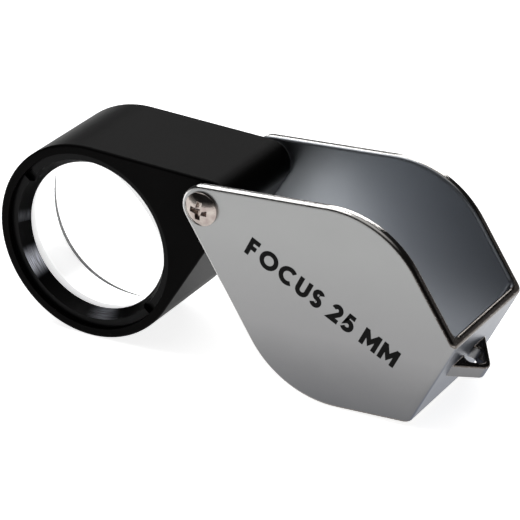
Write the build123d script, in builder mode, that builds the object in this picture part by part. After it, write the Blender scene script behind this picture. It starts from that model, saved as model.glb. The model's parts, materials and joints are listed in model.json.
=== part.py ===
"""Folding pocket loupe: a lens holder that swings out of a U-shaped metal case.

The loupe stands on its edge, half open, like a low tent.  X runs along the surface
it stands on, from the lens holder to the case.  Y runs along the pivot, from the
front plate to the rear one, and Z is up.  The origin is on that surface, under the
middle of the loupe's box.
"""
from build123d import *
import os
from math import asin, cos, degrees, radians, sin, sqrt, tan

os.makedirs("parts", exist_ok=True)

# Case: two shield-shaped plates joined by a wall at their flat end
case_depth = 18.0
plate_thickness = 1.3
end_wall_thickness = 1.1
case_apex_radius = 2.8
case_belly_radius = 12.65
case_belly_reach = 19.2
case_length = 33.8
case_end_width = 12.35
bend_radius = 0.9
inner_bend_radius = 0.7
outer_rim_round = 0.45
inner_rim_round = 0.35
case_tilt = 27.35

# Lanyard eye: a pointed arch cast on the end face
eye_width = 8.8
eye_slope = 37.4
eye_strap_width = 1.9
eye_strap_thickness = 0.85
eye_tip_round = 1.3
eye_hole_round = 0.7
eye_foot_round = 1.5
eye_foot_reach = 5.6
eye_edge_round = 0.25

# Lens holder: a round barrel drawn out to a small pivot end
barrel_radius = 12.5
barrel_reach = 19.25
holder_pivot_radius = 2.85
holder_depth = 14.8
holder_front_round = 0.35
holder_rear_chamfer = 0.4

# Optics: two plano-convex lenses, flat faces outwards, with a spacer between them
lens_radius = 10.5
lens_edge = 1.5
lens_curve = 26.0
lens_depth = 2.25
clear_radius = 9.5
optics_clearance = 0.05
rear_lip_chamfer = 1.9

# Retaining ring, with two slots for a pin spanner
ring_radius = 11.3
ring_face_bore = 10.35
ring_recess = 0.65
spanner_slot_width = 1.5
spanner_slot_depth = 0.7
spanner_slot_angle = 112.5

# Pivot: a post between the plates, a pan-head screw in each end, two friction washers
post_radius = 1.5
post_clearance = 0.03
thread_radius = 0.8
thread_clearance = 0.03
thread_length = 4.0
tapped_depth = 5.0
plate_hole_radius = 0.9
head_radius = 2.1
head_rim = 0.3
head_dome = 0.75
cross_length = 2.3
cross_width = 0.75
cross_depth = 0.7
cross_taper = 12
cross_turn = 20
washer_radius = 2.45
washer_gap = 0.02

# Derived sizes
half_depth = case_depth / 2
half_gap = half_depth - plate_thickness
half_holder = holder_depth / 2
inner_length = case_length - end_wall_thickness
eye_root = case_length - end_wall_thickness / 2
eye_point = case_length + eye_width / 2 * tan(radians(eye_slope))
eye_top = eye_point - eye_tip_round * (1 / cos(radians(eye_slope)) - 1)
eye_hole_point = eye_point - eye_strap_thickness / cos(radians(eye_slope))
eye_hole_width = 2 * (eye_hole_point - case_length) / tan(radians(eye_slope))
ring_face = half_holder - ring_recess
lens_flat = half_holder - lens_depth
lens_seat = lens_flat - lens_edge
lens_bore = lens_radius + optics_clearance
ring_thread = ring_radius + optics_clearance
head_sphere = (head_radius**2 + head_dome**2) / (2 * head_dome)
head_top = half_depth + head_rim + head_dome

# Both bellies touch the surface, which sets the lens holder's own tilt
pivot_height = case_belly_reach * sin(radians(case_tilt)) + case_belly_radius
holder_tilt = degrees(asin((pivot_height - barrel_radius) / barrel_reach))
left_reach = barrel_reach * cos(radians(holder_tilt)) + barrel_radius
eye_tip_along = (eye_top - eye_edge_round) * cos(radians(case_tilt))
eye_tip_across = (eye_strap_width / 2 - eye_edge_round) * sin(radians(case_tilt))
right_reach = eye_tip_along + eye_tip_across + eye_edge_round

# Working planes: local x runs from the pivot along the piece, local z to the front
pivot = Vector((left_reach - right_reach) / 2, 0, pivot_height)
case_x = Vector(cos(radians(case_tilt)), 0, -sin(radians(case_tilt)))
holder_x = Vector(-cos(radians(holder_tilt)), 0, -sin(radians(holder_tilt)))
to_front = Vector(0, -1, 0)
case_plane = Plane(origin=pivot, x_dir=case_x, z_dir=to_front)
holder_plane = Plane(origin=pivot, x_dir=holder_x, z_dir=to_front)
barrel_plane = Plane(origin=pivot + holder_x * barrel_reach, x_dir=holder_x, z_dir=to_front)
# Section planes: local x runs along the case or the barrel's radius, local y to the front
across_plane = Plane(origin=pivot, x_dir=case_x, z_dir=case_plane.y_dir * -1)
barrel_section = Plane(origin=barrel_plane.origin, x_dir=holder_x, z_dir=barrel_plane.y_dir * -1)
along_case = Axis(pivot, case_x)
pivot_axis = Axis(pivot, to_front)
barrel_axis = Axis(barrel_plane.origin, to_front)


def write(builder, name):
    """Label a finished piece and write it as its own file."""
    builder.part.label = name
    export_step(builder.part, f"parts/{name}.step")


def sagitta(radius):
    """How far the convex face has curved back at a distance from the lens's axis."""
    return lens_curve - sqrt(lens_curve**2 - radius**2)


def rim_edges(part, outside):
    """The edges round the open sides of the case, on its outside or its inside."""
    chosen = ShapeList()
    for edge in part.edges():
        middle = case_plane.to_local_coords(edge @ 0.5)
        through_plate = (abs(middle.Z) - half_gap) / plate_thickness
        through_wall = (middle.X - inner_length) / end_wall_thickness
        depth_in_metal = max(through_plate, through_wall)
        on_skin = depth_in_metal > 0.7 if outside else depth_in_metal < 0.1
        across = abs((edge % 0.5).dot(case_plane.y_dir)) > 0.999
        if on_skin and not across:
            chosen.append(edge)
    return chosen


def at_foot(vertex):
    """Whether a corner of the arch's outline is where its slope meets the end face."""
    place = across_plane.to_local_coords(vertex.center())
    return abs(place.X - case_length) < 0.001 and abs(abs(place.Y) - eye_width / 2) < 0.001


def end_corners(sketch):
    """The two corners of a section that are nearest the case's flat end."""
    return sketch.vertices().sort_by(along_case)[-2:]


# One casting: plates, end wall and lanyard eye
with BuildPart() as case:
    with BuildSketch(case_plane):
        with BuildLine():
            CenterArc((0, 0), case_apex_radius, 0, 360)
            CenterArc((case_belly_reach, 0), case_belly_radius, 0, 360)
            Line((case_length, case_end_width / 2), (case_length, -case_end_width / 2))
        make_hull()
    extrude(amount=half_depth, both=True)
    # The two bends between the plates and the end face
    with BuildSketch(across_plane) as strip:
        Rectangle(2 * case_length, case_depth)
        fillet(end_corners(strip), bend_radius)
    extrude(amount=case_belly_radius + 1, both=True, mode=Mode.INTERSECT)
    # The slot that the lens holder folds into
    with BuildSketch(across_plane) as inside:
        Rectangle(2 * inner_length, 2 * half_gap)
        fillet(end_corners(inside), inner_bend_radius)
    extrude(amount=case_belly_radius + 1, both=True, mode=Mode.SUBTRACT)
    fillet(rim_edges(case.part, True), outer_rim_round)
    fillet(rim_edges(case.part, False), inner_rim_round)
    # The eye's arch, rooted inside the end wall, with flared feet and rounded edges
    with BuildPart(mode=Mode.PRIVATE) as eye:
        with BuildSketch(across_plane) as arch:
            with BuildLine():
                Polyline(
                    (eye_root, eye_foot_reach),
                    (case_length, eye_foot_reach),
                    (case_length, eye_width / 2),
                    (eye_point, 0),
                    (case_length, -eye_width / 2),
                    (case_length, -eye_foot_reach),
                    (eye_root, -eye_foot_reach),
                    close=True,
                )
            make_face()
            fillet(arch.vertices().sort_by(along_case)[-1], eye_tip_round)
            fillet(arch.vertices().filter_by(at_foot), eye_foot_round)
        extrude(amount=eye_strap_width / 2, both=True)
        with BuildSketch(across_plane) as hole:
            with BuildLine():
                Polyline(
                    (case_length, eye_hole_width / 2),
                    (eye_hole_point, 0),
                    (case_length, -eye_hole_width / 2),
                    close=True,
                )
            make_face()
            fillet(hole.vertices(), eye_hole_round)
        extrude(amount=case_belly_radius, both=True, mode=Mode.SUBTRACT)
        sides = eye.faces().sort_by(Axis(pivot, case_plane.y_dir))
        fillet(sides[0].edges() + sides[-1].edges(), eye_edge_round)
    add(eye.part)
    with Locations(case_plane):
        Hole(plate_hole_radius)
write(case, "case")

# The barrel and its pivot end
with BuildPart() as lens_holder:
    with BuildSketch(holder_plane):
        with BuildLine():
            CenterArc((0, 0), holder_pivot_radius, 0, 360)
            CenterArc((barrel_reach, 0), barrel_radius, 0, 360)
        make_hull()
    extrude(amount=half_holder, both=True)
    outline_edges = lens_holder.edges().group_by(pivot_axis)
    fillet(outline_edges[-1], holder_front_round)
    chamfer(outline_edges[0], holder_rear_chamfer)
    # Bore, from the front: ring thread, lens seat, and a chamfered lip at the rear
    with BuildSketch(barrel_section):
        with BuildLine():
            Polyline(
                (0, half_holder + 1),
                (ring_thread, half_holder + 1),
                (ring_thread, lens_flat - optics_clearance),
                (lens_bore, lens_flat - optics_clearance),
                (lens_bore, -lens_flat),
                (clear_radius, -lens_flat),
                (clear_radius, rear_lip_chamfer - half_holder),
                (clear_radius + rear_lip_chamfer, -half_holder),
                (clear_radius + rear_lip_chamfer, -half_holder - 1),
                (0, -half_holder - 1),
                close=True,
            )
        make_face()
    revolve(axis=barrel_axis, mode=Mode.SUBTRACT)
    with Locations(holder_plane):
        Hole(post_radius + post_clearance)
write(lens_holder, "lens_holder")

with BuildPart() as front_lens:
    with BuildSketch(barrel_section):
        with BuildLine():
            Polyline(
                (0, lens_seat - sagitta(lens_radius)),
                (0, lens_flat),
                (lens_radius, lens_flat),
                (lens_radius, lens_seat),
            )
            ThreePointArc(
                (lens_radius, lens_seat),
                (lens_radius / 2, lens_seat - sagitta(lens_radius) + sagitta(lens_radius / 2)),
                (0, lens_seat - sagitta(lens_radius)),
            )
        make_face()
    revolve(axis=barrel_axis)
write(front_lens, "front_lens")

with BuildPart() as rear_lens:
    mirror(front_lens.part, about=Plane.XZ)
write(rear_lens, "rear_lens")

# The spacer's inner edges carry the convex faces
spacer_half = lens_seat - sagitta(lens_radius) + sagitta(clear_radius) - optics_clearance / 2
with BuildPart() as lens_spacer:
    with BuildSketch(barrel_plane):
        Circle(lens_radius)
        Circle(clear_radius, mode=Mode.SUBTRACT)
    extrude(amount=spacer_half, both=True)
write(lens_spacer, "lens_spacer")

with BuildPart() as retaining_ring:
    with BuildSketch(barrel_section):
        with BuildLine():
            Polyline(
                (clear_radius, lens_flat),
                (ring_radius, lens_flat),
                (ring_radius, ring_face),
                (ring_face_bore, ring_face),
                close=True,
            )
        make_face()
    revolve(axis=barrel_axis)
    with BuildSketch(barrel_plane.offset(ring_face)):
        Rectangle(3 * ring_radius, spanner_slot_width, rotation=spanner_slot_angle)
    extrude(amount=-spanner_slot_depth, mode=Mode.SUBTRACT)
write(retaining_ring, "retaining_ring")

with BuildPart() as pivot_post:
    with BuildSketch(case_plane):
        Circle(post_radius)
    extrude(amount=half_gap, both=True)
    for side in (1, -1):
        with BuildSketch(case_plane.offset(side * half_gap)):
            Circle(thread_radius + thread_clearance)
        extrude(amount=-side * tapped_depth, mode=Mode.SUBTRACT)
write(pivot_post, "pivot_post")

with BuildPart() as front_screw:
    with BuildSketch(across_plane):
        with BuildLine():
            Polyline(
                (0, head_top),
                (0, half_gap - thread_length),
                (thread_radius, half_gap - thread_length),
                (thread_radius, half_depth),
                (head_radius, half_depth),
                (head_radius, half_depth + head_rim),
            )
            RadiusArc((head_radius, half_depth + head_rim), (0, head_top), -head_sphere)
        make_face()
    revolve(axis=pivot_axis)
    with BuildSketch(case_plane.offset(head_top)):
        Rectangle(cross_length, cross_width, rotation=cross_turn)
        Rectangle(cross_width, cross_length, rotation=cross_turn)
    extrude(amount=-cross_depth, taper=cross_taper, mode=Mode.SUBTRACT)
write(front_screw, "front_screw")

with BuildPart() as rear_screw:
    mirror(front_screw.part, about=Plane.XZ)
write(rear_screw, "rear_screw")

with BuildPart() as front_washer:
    with BuildSketch(case_plane.offset(half_holder + washer_gap)):
        Circle(washer_radius)
        Circle(post_radius + post_clearance, mode=Mode.SUBTRACT)
    extrude(amount=half_gap - half_holder - washer_gap)
write(front_washer, "front_washer")

with BuildPart() as rear_washer:
    mirror(front_washer.part, about=Plane.XZ)
write(rear_washer, "rear_washer")
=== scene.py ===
"""Looks of the folding pocket loupe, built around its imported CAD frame.

Everything is in metres, in the row frame: X along the floor from the lens holder to
the case, Y along the pivot from the front plate to the rear one, Z up.
"""
import json
from math import cos, pi, radians, sin

import bmesh
import bpy
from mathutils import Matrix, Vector


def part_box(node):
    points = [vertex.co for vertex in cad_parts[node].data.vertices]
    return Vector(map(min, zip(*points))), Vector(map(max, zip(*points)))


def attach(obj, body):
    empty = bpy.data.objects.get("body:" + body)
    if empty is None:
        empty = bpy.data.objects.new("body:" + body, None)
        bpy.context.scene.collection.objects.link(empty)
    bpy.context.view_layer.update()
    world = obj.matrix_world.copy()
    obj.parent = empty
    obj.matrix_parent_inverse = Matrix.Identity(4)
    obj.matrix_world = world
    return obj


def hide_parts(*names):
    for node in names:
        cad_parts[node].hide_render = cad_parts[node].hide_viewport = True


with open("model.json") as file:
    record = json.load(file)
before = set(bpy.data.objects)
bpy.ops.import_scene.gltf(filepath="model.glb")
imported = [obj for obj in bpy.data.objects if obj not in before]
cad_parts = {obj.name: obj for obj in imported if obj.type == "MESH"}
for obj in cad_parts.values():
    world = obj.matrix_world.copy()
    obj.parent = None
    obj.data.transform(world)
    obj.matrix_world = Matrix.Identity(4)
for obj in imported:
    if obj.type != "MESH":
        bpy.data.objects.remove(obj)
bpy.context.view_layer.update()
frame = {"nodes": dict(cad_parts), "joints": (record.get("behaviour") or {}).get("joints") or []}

nodes = frame["nodes"]
scene = bpy.context.scene
MM = 0.001
WHITE = (1, 1, 1, 1)

# Places read from the frame
pivot = Vector(frame["joints"][0]["pos_m"])
front_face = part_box("case")[0].y
lens_low, lens_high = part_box("front_lens")
barrel = (lens_low + lens_high) / 2
barrel.y = 0

# The case's own directions: along it, away from the pivot, and across it, upwards
CASE_TILT = radians(27.35)
CASE_ALONG = Vector((cos(CASE_TILT), 0, -sin(CASE_TILT)))
CASE_ACROSS = Vector((sin(CASE_TILT), 0, cos(CASE_TILT)))

# The slot inside the case, a little inside its rims
INSIDE_HALF_DEPTH = 7.9 * MM
INSIDE_LENGTH = 32.85 * MM

# The camera's place, from the point that it aims at
CAMERA_AZIMUTH = radians(29.63)
CAMERA_ELEVATION = radians(25.62)
CAMERA_DISTANCE = 353.8 * MM
CAMERA_LENS = 205.74
AIM = Vector((0.85, 0, 11.75)) * MM


def set_camera():
    """The camera looks at the aim point from the front right, a little above."""
    data = bpy.data.cameras.new("camera")
    data.lens = CAMERA_LENS
    data.sensor_width = 36
    data.clip_start = 0.01
    data.clip_end = 20
    data.dof.use_dof = False
    camera = bpy.data.objects.new("camera", data)
    level = cos(CAMERA_ELEVATION)
    towards = Vector((sin(CAMERA_AZIMUTH) * level, -cos(CAMERA_AZIMUTH) * level, sin(CAMERA_ELEVATION)))
    camera.location = AIM + towards * CAMERA_DISTANCE
    camera.rotation_euler = (-towards).to_track_quat("-Z", "Y").to_euler()
    scene.collection.objects.link(camera)
    scene.camera = camera


# ---------------------------------------------------------------- node helpers


class Shader:
    """One procedural material, with short calls for the nodes that it uses."""

    def __init__(self, name, **sockets):
        self.material = bpy.data.materials.new(name)
        self.material.use_nodes = True
        self.tree = self.material.node_tree
        self.bsdf = self.tree.nodes["Principled BSDF"]
        for socket, value in sockets.items():
            self.bsdf.inputs[socket.replace("_", " ")].default_value = value

    def node(self, kind, **values):
        """A node of that kind: a lower-case name is a property, a capitalised one a socket."""
        made = self.tree.nodes.new("ShaderNode" + kind)
        for name, value in values.items():
            if name[0].isupper():
                made.inputs[name.replace("_", " ")].default_value = value
            else:
                setattr(made, name, value)
        return made

    def link(self, source, target):
        self.tree.links.new(source, target)

    def coordinates(self, kind="Object"):
        return self.node("TexCoord").outputs[kind]

    def stretched(self, scale, turn=(0, 0, 0)):
        """Object coordinates along turned axes, times a scale per metre for each axis."""
        mapping = self.node("Mapping", vector_type="TEXTURE")
        mapping.inputs["Rotation"].default_value = turn
        mapping.inputs["Scale"].default_value = [1 / value for value in scale]
        self.link(self.coordinates(), mapping.inputs["Vector"])
        return mapping.outputs["Vector"]

    def noise(self, vector, scale, detail=3.0):
        made = self.node("TexNoise", Scale=scale, Detail=detail, Roughness=0.5)
        self.link(vector, made.inputs["Vector"])
        return made.outputs["Fac"]

    def math(self, operation, first, second=None):
        made = self.node("Math", operation=operation)
        for place, value in enumerate((first, second)):
            if value is None:
                continue
            if isinstance(value, (int, float)):
                made.inputs[place].default_value = value
            else:
                self.link(value, made.inputs[place])
        return made.outputs[0]

    def ramp(self, value, low, high, start=0.0, end=1.0, kind="LINEAR"):
        """Maps low..high to start..end, held at both ends."""
        made = self.node("MapRange", interpolation_type=kind)
        limits = {"From Min": low, "From Max": high, "To Min": start, "To Max": end}
        for socket, limit in limits.items():
            made.inputs[socket].default_value = limit
        self.link(value, made.inputs["Value"])
        return made.outputs["Result"]

    def colours(self, value, *stops):
        """A colour ramp over (place, colour) stops."""
        made = self.node("ValToRGB")
        elements = made.color_ramp.elements
        while len(elements) < len(stops):
            elements.new(1.0)
        for element, (place, colour) in zip(elements, stops):
            element.position = place
            element.color = (*colour, 1)
        self.link(value, made.inputs["Fac"])
        return made.outputs["Color"]

    def split(self, vector):
        """The X, Y and Z of a vector."""
        made = self.node("SeparateXYZ")
        self.link(vector, made.inputs[0])
        return made.outputs

    def measured(self, parts, direction, start=Vector()):
        """How far a vector reaches from start in one of the case's directions."""
        level = self.math("MULTIPLY", self.math("SUBTRACT", parts["X"], start.x), direction.x)
        upright = self.math("MULTIPLY", self.math("SUBTRACT", parts["Z"], start.z), direction.z)
        return self.math("ADD", level, upright)

    def mix(self, factor, first, second):
        """A colour between two colours."""
        made = self.node("Mix", data_type="RGBA")
        sockets = [socket for socket in made.inputs if socket.enabled]
        for socket, value in zip(sockets, (factor, first, second)):
            if isinstance(value, tuple):
                socket.default_value = value
            else:
                self.link(value, socket)
        return next(socket for socket in made.outputs if socket.enabled)

    def bump(self, height, strength, distance, edge_round=None):
        """Bump from a height, over edges that are softened by edge_round metres."""
        made = self.node("Bump", Strength=strength, Distance=distance)
        self.link(height, made.inputs["Height"])
        if edge_round:
            bevel = self.node("Bevel", samples=6, Radius=edge_round)
            self.link(bevel.outputs["Normal"], made.inputs["Normal"])
        self.link(made.outputs["Normal"], self.bsdf.inputs["Normal"])

    def to(self, socket, output):
        self.link(output, self.bsdf.inputs[socket])


# ------------------------------------------------------------------- materials

# The plates' outsides, from the foot of the case to its top: darker towards the foot, a painted shade
# that stands in for the reflection of the shaded floor near the case
SATIN_AND_SHADE = (
    (0.0, (0.138, 0.140, 0.146)),
    (0.2, (0.178, 0.178, 0.182)),
    (0.45, (0.252, 0.251, 0.253)),
    (1.0, (0.290, 0.292, 0.290)),
)
# The end face, from its foot to its top: darker and bluer towards its foot, a painted reflection of
# cool light and of the shaded floor
END_FACE_AND_REFLECTION = (
    (0.0, (0.056, 0.074, 0.120)),
    (0.7, (0.150, 0.158, 0.176)),
)
# The inside of the slot, dull, from the pivot to the end wall: darker deeper in, a painted shade
# towards the end wall
DULL_AND_SHADE = (
    (0.0, (0.355, 0.375, 0.400)),
    (0.4, (0.275, 0.290, 0.315)),
    (1.0, (0.150, 0.160, 0.176)),
)
# The rims, from the pivot to the end, darkening towards the end as painted shade that stands in for a
# dark reflection, and their bright specks, which are painted glints
RIM_AND_SHADE = (
    (0.0, (0.72, 0.71, 0.70)),
    (0.45, (0.60, 0.58, 0.56)),
    (0.75, (0.12, 0.105, 0.095)),
)
RIM_GLINT = (0.75, 0.74, 0.72, 1)

# Heights above the floor, and distances from the pivot, over which those colours change
FOOT_TO_TOP = (1 * MM, 21 * MM)
NEAR_TO_FAR = (6 * MM, 34 * MM)

# How squarely a plate and the end face have to face outwards to count as flat, and how
# little the bend between them turns across the case
PLATE_FACING = (0.92, 0.99)
END_FACING = (0.80, 0.99)
BEND_FACING = (0.10, 0.22)

# Roughness of the polished rims and of the satin, and what the satin's clouds add to both
RIM_ROUGHNESS = 0.05
SATIN_ROUGHNESS = 0.30
CLOUD_ROUGHNESS = 0.08

# The satin's grain: its scale per metre along its own axes, and their turn
GRAIN_SCALE = (9000, 9000, 1100)
GRAIN_TURN = (0, CASE_TILT * 0.4, 0)

# Painted highlights in the ring's bore, standing in for reflections on its turning marks: middle and
# spread in degrees round it, and strength
PAINTED_HIGHLIGHTS = ((-150, 13, 1.0), (-83, 14, 0.28), (176, 7, 0.08))

# Emission that keeps the lens opening and the floor white
SPACER_GLOW = 0.75
FLOOR_GLOW = 0.86


def case_metal():
    """Chrome plate: satin outside, dull inside the slot, polished rims; painted shade darkens the
    plates towards their foot, the slot towards its end wall and the rims towards their end, and the end
    face has a painted cool reflection.
    """
    m = Shader("case_metal", Metallic=1.0)
    normal = m.split(m.coordinates("Normal"))
    place = m.split(m.coordinates())
    along = m.measured(place, CASE_ALONG, pivot)
    ahead = m.measured(normal, CASE_ALONG)
    aside = m.math("ABSOLUTE", m.measured(normal, CASE_ACROSS))

    plate_face = m.ramp(m.math("ABSOLUTE", normal["Y"]), *PLATE_FACING)
    end_face = m.ramp(ahead, *END_FACING)
    faces_ahead = m.math("GREATER_THAN", ahead, 0.0)
    bend = m.math("MULTIPLY", m.ramp(aside, *BEND_FACING, 1.0, 0.0), faces_ahead)
    flat_outside = m.math("MAXIMUM", plate_face, bend)
    within_plates = m.math("LESS_THAN", m.math("ABSOLUTE", place["Y"]), INSIDE_HALF_DEPTH)
    within_wall = m.math("LESS_THAN", along, INSIDE_LENGTH)
    inside = m.math("MULTIPLY", within_plates, within_wall)

    cloud = m.noise(m.coordinates(), 260, 4.0)
    speck = m.noise(m.coordinates(), 7000, 2.0)
    grain = m.noise(m.stretched(GRAIN_SCALE, GRAIN_TURN), 1.0, 2.0)
    height = m.ramp(m.math("ADD", place["Z"], m.math("MULTIPLY", cloud, 2 * MM)), *FOOT_TO_TOP)
    reach = m.ramp(m.math("ADD", along, m.math("MULTIPLY", speck, 2 * MM)), *NEAR_TO_FAR)

    # Painted shade makes the plates darker towards their foot, and a painted reflection makes the end
    # face darker and bluer towards its foot
    satin = m.mix(end_face, m.colours(height, *SATIN_AND_SHADE), m.colours(height, *END_FACE_AND_REFLECTION))
    # Bright specks that are painted glints in the rims' painted shade
    painted_glints = m.ramp(speck, 0.60, 0.68, 0.0, 0.55)
    rim = m.mix(painted_glints, m.colours(reach, *RIM_AND_SHADE), RIM_GLINT)
    outside = m.mix(flat_outside, rim, satin)
    # The slot's inside darkens towards the end wall as painted shade
    m.to("Base Color", m.mix(inside, outside, m.colours(reach, *DULL_AND_SHADE)))

    satin_places = m.math("MAXIMUM", flat_outside, inside)
    finish = m.ramp(satin_places, 0, 1, RIM_ROUGHNESS, SATIN_ROUGHNESS)
    m.to("Roughness", m.math("ADD", finish, m.math("MULTIPLY", cloud, CLOUD_ROUGHNESS)))
    m.bump(grain, 0.30, 0.02 * MM, edge_round=0.30 * MM)
    return m.material


def black_anodised():
    """Fine-blasted aluminium, anodised black."""
    m = Shader("black_anodised", Metallic=0.0, Specular_IOR_Level=0.022)
    speck = m.noise(m.coordinates(), 9000)
    cloud = m.noise(m.coordinates(), 160, 4.0)
    darker = (0.0009, 0.0008, 0.0008)
    lighter = (0.0018, 0.0016, 0.0016)
    m.to("Base Color", m.colours(cloud, (0.3, darker), (0.7, lighter)))
    m.to("Roughness", m.math("ADD", m.math("MULTIPLY", speck, 0.12), 0.34))
    m.bump(speck, 0.12, 0.01 * MM, edge_round=0.08 * MM)
    return m.material


def ring_black():
    """Black anodised aluminium with turning marks, and painted highlights on them in places in its
    bore.
    """
    m = Shader("ring_black", Specular_IOR_Level=0.08)
    place = m.split(m.coordinates())
    normal = m.split(m.coordinates("Normal"))
    speck = m.noise(m.coordinates(), 5000, 2.0)
    streaks = m.noise(m.stretched((500, 12000, 500)), 1.0)
    upright = m.math("SUBTRACT", place["Z"], barrel.z)
    level = m.math("SUBTRACT", place["X"], barrel.x)
    turn = m.math("ARCTAN2", upright, level)
    in_bore = m.ramp(m.math("ABSOLUTE", normal["Y"]), 0.80, 0.95, 1.0, 0.0)
    painted_highlight = 0.0
    for middle, spread, most in PAINTED_HIGHLIGHTS:
        away = m.math("ABSOLUTE", m.math("SUBTRACT", turn, radians(middle)))
        painted_highlight = m.math("MAXIMUM", painted_highlight, m.ramp(away, 0.0, radians(spread), most, 0.0, "SMOOTHSTEP"))
    painted_highlight = m.math("MULTIPLY", painted_highlight, in_bore)
    painted_highlight = m.math("MULTIPLY", painted_highlight, m.ramp(streaks, 0.35, 0.60, 0.35, 1.0))
    black = (0.0012, 0.0012, 0.0014)
    # Colour of the painted highlights in the bore
    bare = (0.88, 0.90, 1.0)
    m.to("Base Color", m.colours(painted_highlight, (0.0, black), (1.0, bare)))
    m.to("Roughness", m.math("ADD", m.math("MULTIPLY", speck, 0.12), 0.26))
    m.bump(speck, 0.05, 0.01 * MM, edge_round=0.05 * MM)
    return m.material


def lens_glass():
    """Optical glass, with a trace of dust in its gloss."""
    m = Shader("lens_glass", Base_Color=WHITE, IOR=1.517, Transmission_Weight=1.0)
    speck = m.noise(m.coordinates(), 700, 2.0)
    m.to("Roughness", m.ramp(speck, 0.3, 0.8, 0.0, 0.004))
    return m.material


def bare_aluminium():
    """Turned aluminium, left bare, with a glow."""
    m = Shader("bare_aluminium", Base_Color=(0.92, 0.92, 0.93, 1), Metallic=1.0)
    m.bsdf.inputs["Emission Color"].default_value = WHITE
    m.bsdf.inputs["Emission Strength"].default_value = SPACER_GLOW
    turning = m.noise(m.stretched((300, 20000, 300)), 1.0, 2.0)
    m.to("Roughness", m.ramp(turning, 0.3, 0.7, 0.38, 0.48))
    m.bump(turning, 0.1, 0.01 * MM)
    return m.material


def screw_nickel():
    """Bright nickel plate, a little warm, with small pits from the die."""
    m = Shader("screw_nickel", Metallic=1.0)
    cloud = m.noise(m.coordinates(), 900, 4.0)
    pits = m.noise(m.coordinates(), 3500)
    m.to("Base Color", m.colours(cloud, (0.35, (0.34, 0.28, 0.26)), (0.65, (0.47, 0.43, 0.39))))
    m.to("Roughness", m.ramp(cloud, 0.3, 0.7, 0.08, 0.18))
    m.bump(pits, 0.22, 0.04 * MM, edge_round=0.10 * MM)
    return m.material


def post_steel():
    """Turned steel, lightly oiled."""
    m = Shader("post_steel", Base_Color=(0.52, 0.52, 0.53, 1), Metallic=1.0)
    turning = m.noise(m.stretched((400, 15000, 400)), 1.0, 2.0)
    m.to("Roughness", m.ramp(turning, 0.3, 0.7, 0.22, 0.34))
    m.bump(turning, 0.1, 0.01 * MM)
    return m.material


def washer_polymer():
    """Matt black low-friction polymer."""
    m = Shader("washer_polymer", Metallic=0.0)
    cloud = m.noise(m.coordinates(), 1500)
    m.to("Base Color", m.colours(cloud, (0.3, (0.030, 0.030, 0.031)), (0.7, (0.045, 0.045, 0.047))))
    m.to("Roughness", m.ramp(cloud, 0.3, 0.7, 0.50, 0.65))
    m.bump(cloud, 0.1, 0.02 * MM)
    return m.material


def marking_ink():
    """Pad-printed black ink, slightly uneven."""
    m = Shader("marking_ink", Metallic=0.0, Specular_IOR_Level=0.06)
    cloud = m.noise(m.coordinates(), 2500)
    m.to("Base Color", m.colours(cloud, (0.3, (0.002, 0.002, 0.002)), (0.7, (0.004, 0.004, 0.004))))
    m.to("Roughness", m.ramp(cloud, 0.3, 0.7, 0.35, 0.50))
    m.bump(cloud, 0.1, 0.004 * MM)
    return m.material


def floor_white():
    """A plain white floor with a glow, so that shadows on it stay faint."""
    m = Shader("floor_white", Metallic=0.0, Roughness=0.9, Specular_IOR_Level=0.1)
    m.bsdf.inputs["Emission Color"].default_value = WHITE
    m.bsdf.inputs["Emission Strength"].default_value = FLOOR_GLOW
    cloud = m.noise(m.coordinates(), 3.0, 2.0)
    m.to("Base Color", m.colours(cloud, (0.3, (0.90, 0.90, 0.90)), (0.7, (0.92, 0.92, 0.92))))
    return m.material


def paint_nodes():
    """Each CAD node that stays visible gets its finish."""
    nickel = screw_nickel()
    polymer = washer_polymer()
    finishes = {
        "case": case_metal(),
        "lens_holder": black_anodised(),
        "retaining_ring": ring_black(),
        "lens_spacer": bare_aluminium(),
        "pivot_post": post_steel(),
        "front_screw": nickel,
        "rear_screw": nickel,
        "front_washer": polymer,
        "rear_washer": polymer,
    }
    for name, material in finishes.items():
        node = nodes[name]
        node.data.materials.clear()
        node.data.materials.append(material)


# --------------------------------------------------------------------- lenses

LENS_CURVE = 26 * MM
LENS_TURNS = 192
LENS_RINGS = 40
LENS_CREASE = radians(25)


def lens_profile(radius, flat, apex, side):
    """Radius and Y of each ring of a lens: over its flat face, its rim and its curved face."""
    profile = [(0.0, flat), (radius * 0.5, flat), (radius, flat)]
    for step in range(LENS_RINGS + 1):
        r = radius * (1 - step / LENS_RINGS)
        drop = LENS_CURVE - (LENS_CURVE**2 - r**2) ** 0.5
        profile.append((r, apex + side * drop))
    return profile


def turned_mesh(name, profile):
    """A profile turned about the barrel's axis, closed at both ends by a single point."""
    vertices = []
    faces = []
    rows = []
    for r, y in profile:
        turns = LENS_TURNS if r else 1
        rows.append((len(vertices), turns))
        for turn in range(turns):
            angle = 2 * pi * turn / LENS_TURNS
            vertices.append((barrel.x + r * cos(angle), y, barrel.z + r * sin(angle)))
    for (a, a_turns), (b, b_turns) in zip(rows, rows[1:]):
        for turn in range(LENS_TURNS):
            after = (turn + 1) % LENS_TURNS
            corners = [a + turn % a_turns, a + after % a_turns, b + after % b_turns, b + turn % b_turns]
            faces.append(list(dict.fromkeys(corners)))
    mesh = bpy.data.meshes.new(name)
    mesh.from_pydata(vertices, [], faces)
    return mesh


def smooth_mesh(mesh):
    """Turns the faces outwards and shades them smooth, except across a crease."""
    solid = bmesh.new()
    solid.from_mesh(mesh)
    bmesh.ops.recalc_face_normals(solid, faces=solid.faces)
    for edge in solid.edges:
        edge.smooth = edge.calc_face_angle(0) < LENS_CREASE
    for face in solid.faces:
        face.smooth = True
    solid.to_mesh(mesh)
    solid.free()


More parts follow.
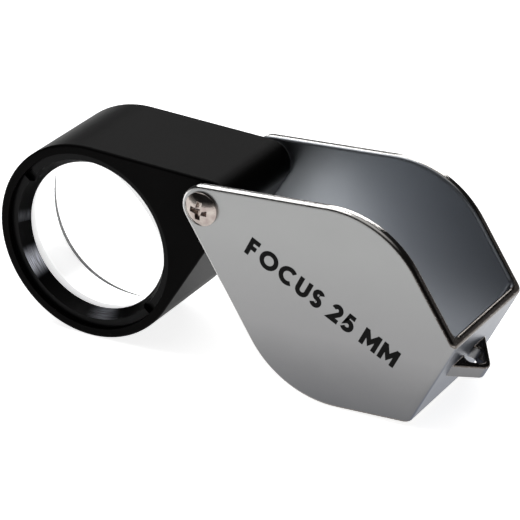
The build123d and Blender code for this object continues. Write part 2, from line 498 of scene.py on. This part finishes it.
def add_lens(name, side, material):
    """A plano-convex lens with smooth faces; side is -1 for the front one, 1 for the rear."""
    low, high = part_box(name)
    radius = (high.x - low.x) / 2
    flat = low.y if side < 0 else high.y
    apex = high.y if side < 0 else low.y
    mesh = turned_mesh(name, lens_profile(radius, flat, apex, side))
    smooth_mesh(mesh)
    mesh.materials.append(material)
    lens = bpy.data.objects.new(name + "_glass", mesh)
    scene.collection.objects.link(lens)
    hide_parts(name)
    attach(lens, "lens_holder")


# -------------------------------------------------------------------- marking

MARKING_TEXT = "FOCUS 25 MM"
MARKING_HEIGHT = 2.5 * MM
MARKING_STROKE = 0.60 * MM
MARKING_THICKNESS = 0.012 * MM
MARKING_START = 6.9 * MM
MARKING_GAP = 0.34 * MM
MARKING_SPACE = 0.9 * MM

# Each vertex drawn so far raises the next stroke by this, so that no two tops share a plane
MARKING_STEP = 0.00001 * MM

# Points nearer than this are one point
SAME_PLACE = 0.001 * MM

# A mitred corner reaches out by the stroke's half width over this, at most
MITRE_LIMIT = 0.35


def bow(centre, radii, start, end, steps=20):
    """Points along part of an ellipse, between two angles in degrees."""
    turns = [radians(start + (end - start) * step / steps) for step in range(steps + 1)]
    return [(centre[0] + radii[0] * cos(turn), centre[1] + radii[1] * sin(turn)) for turn in turns]


def letters():
    """Each letter's width and its strokes' middle lines, for a height of 1."""
    cup_of_u = bow((0.33, 0.33), (0.33, 0.33), 180, 360)
    upper_s = bow((0.25, 0.75), (0.25, 0.25), 30, 270)
    lower_s = bow((0.25, 0.25), (0.25, 0.25), 90, -150)
    head_of_2 = bow((0.26, 0.72), (0.26, 0.28), 170, -40)
    bowl_of_5 = bow((0.21, 0.30), (0.31, 0.30), 118, -140)
    return {
        "F": (0.50, [[(0, -0.12), (0, 1), (0.56, 1)], [(0, 0.50), (0.48, 0.50)]]),
        "O": (1.00, [bow((0.5, 0.5), (0.5, 0.5), 0, 360, 40)]),
        "C": (0.86, [bow((0.5, 0.5), (0.5, 0.5), 48, 312, 32)]),
        "U": (0.66, [[(0, 1.12), *cup_of_u, (0.66, 1.12)]]),
        "S": (0.48, [[*upper_s, *lower_s]]),
        "2": (0.50, [[*head_of_2, (0.02, 0), (0.62, 0)]]),
        "5": (0.50, [[(0.52, 1), (0.14, 1), (0.06, 0.56), *bowl_of_5]]),
        "M": (0.92, [
            [(0, -0.12), (0, 1.12)],
            [(0.02, 1.0), (0.46, 0.30), (0.90, 1.0)],
            [(0.92, -0.12), (0.92, 1.12)],
        ]),
    }


def is_closed(points):
    """Whether a stroke ends where it starts."""
    return (Vector(points[0]) - Vector(points[-1])).length < SAME_PLACE


def stroke_sides(points, half):
    """The two sides of a stroke of that half width, with mitred corners.

    A point that repeats the one before it is drawn at the widest mitre.
    """
    closed = is_closed(points)
    sides = []
    for index, point in enumerate(points):
        before = points[index - 1] if index else (points[-2] if closed else None)
        after = points[index + 1] if index + 1 < len(points) else (points[1] if closed else None)
        ways = []
        if before is not None:
            ways.append((Vector(point) - Vector(before)).normalized())
        if after is not None:
            ways.append((Vector(after) - Vector(point)).normalized())
        way = sum(ways, Vector((0, 0))).normalized()
        reach = half / max(way.dot(ways[0]), MITRE_LIMIT)
        out = Vector((-way.y, way.x)) * reach
        sides.append((Vector(point) + out, Vector(point) - out))
    return sides


def add_stroke(vertices, faces, points, start):
    """A raised stroke on the front plate, from its middle line and its start along the case."""
    first = len(vertices)
    top = front_face - MARKING_THICKNESS - first * MARKING_STEP
    sides = stroke_sides(points, MARKING_STROKE / 2)
    for pair in sides:
        for x, y in pair:
            place = pivot + CASE_ALONG * (start + x) + CASE_ACROSS * y
            vertices.append((place.x, front_face, place.z))
            vertices.append((place.x, top, place.z))
    end = first + 4 * (len(sides) - 1)
    for a in range(first, end, 4):
        b = a + 4
        faces.append((a + 1, b + 1, b + 3, a + 3))
        faces.append((a, a + 2, b + 2, b))
        faces.append((a, b, b + 1, a + 1))
        faces.append((a + 2, a + 3, b + 3, b + 2))
    if not is_closed(points):
        faces.append((first, first + 1, first + 3, first + 2))
        faces.append((end, end + 2, end + 3, end + 1))


def add_marking():
    """A generic printed marking along the middle of the front plate: the lens's focal length."""
    size = MARKING_HEIGHT - MARKING_STROKE
    vertices = []
    faces = []
    drawn = letters()
    along = MARKING_START
    for letter in MARKING_TEXT:
        if letter == " ":
            along += MARKING_SPACE
            continue
        width, strokes = drawn[letter]
        for stroke in strokes:
            points = [(x * size, (y - 0.5) * size) for x, y in stroke]
            add_stroke(vertices, faces, points, along + MARKING_STROKE / 2)
        along += width * size + MARKING_STROKE + MARKING_GAP
    mesh = bpy.data.meshes.new("marking")
    mesh.from_pydata(vertices, [], faces)
    mesh.materials.append(marking_ink())
    marking = bpy.data.objects.new("marking", mesh)
    scene.collection.objects.link(marking)
    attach(marking, "case")


# ----------------------------------------------------------- floor and lights

FLOOR_HALF = 1.5

# The studio's grey by the height of a direction, from the horizon at 0 to overhead at 1
STUDIO = ((0.0, 0.50), (0.15, 0.20), (0.30, 0.02), (0.72, 0.02), (0.88, 0.5), (1.0, 0.7))


def add_floor():
    """A wide plain floor, which the loupe lies on."""
    half = FLOOR_HALF
    corners = [(-half, -half, 0), (half, -half, 0), (half, half, 0), (-half, half, 0)]
    mesh = bpy.data.meshes.new("floor")
    mesh.from_pydata(corners, [], [(0, 1, 2, 3)])
    mesh.materials.append(floor_white())
    floor = bpy.data.objects.new("floor", mesh)
    scene.collection.objects.link(floor)


def add_light(name, place, width, height, power):
    """A soft rectangular lamp that faces the loupe."""
    data = bpy.data.lights.new(name, "AREA")
    data.shape = "RECTANGLE"
    data.size = width
    data.size_y = height
    data.energy = power
    lamp = bpy.data.objects.new(name, data)
    lamp.location = place
    lamp.rotation_euler = (AIM - Vector(place)).to_track_quat("-Z", "Y").to_euler()
    scene.collection.objects.link(lamp)


def set_world():
    """A soft studio: grey at the horizon and below it, nearly black above, pale overhead."""
    world = bpy.data.worlds.new("studio")
    world.use_nodes = True
    scene.world = world
    tree = world.node_tree
    place = tree.nodes.new("ShaderNodeTexCoord")
    split = tree.nodes.new("ShaderNodeSeparateXYZ")
    ramp = tree.nodes.new("ShaderNodeValToRGB")
    tree.links.new(place.outputs["Generated"], split.inputs[0])
    tree.links.new(split.outputs["Z"], ramp.inputs["Fac"])
    elements = ramp.color_ramp.elements
    while len(elements) < len(STUDIO):
        elements.new(1.0)
    for element, (at, grey) in zip(elements, STUDIO):
        element.position = at
        element.color = (grey, grey, grey, 1)
    background = tree.nodes["Background"]
    background.inputs["Strength"].default_value = 1.0
    tree.links.new(ramp.outputs["Color"], background.inputs["Color"])


set_camera()
set_world()
add_floor()
add_light("top_light", place=(-0.22, 0.02, 0.45), width=0.35, height=0.35, power=0.9)
add_light("back_light", place=(-0.305, 0.626, 0.452), width=0.85, height=0.22, power=2.3)
paint_nodes()
glass = lens_glass()
add_lens("front_lens", -1, glass)
add_lens("rear_lens", 1, glass)
add_marking()
scene.view_settings.view_transform = "Standard"
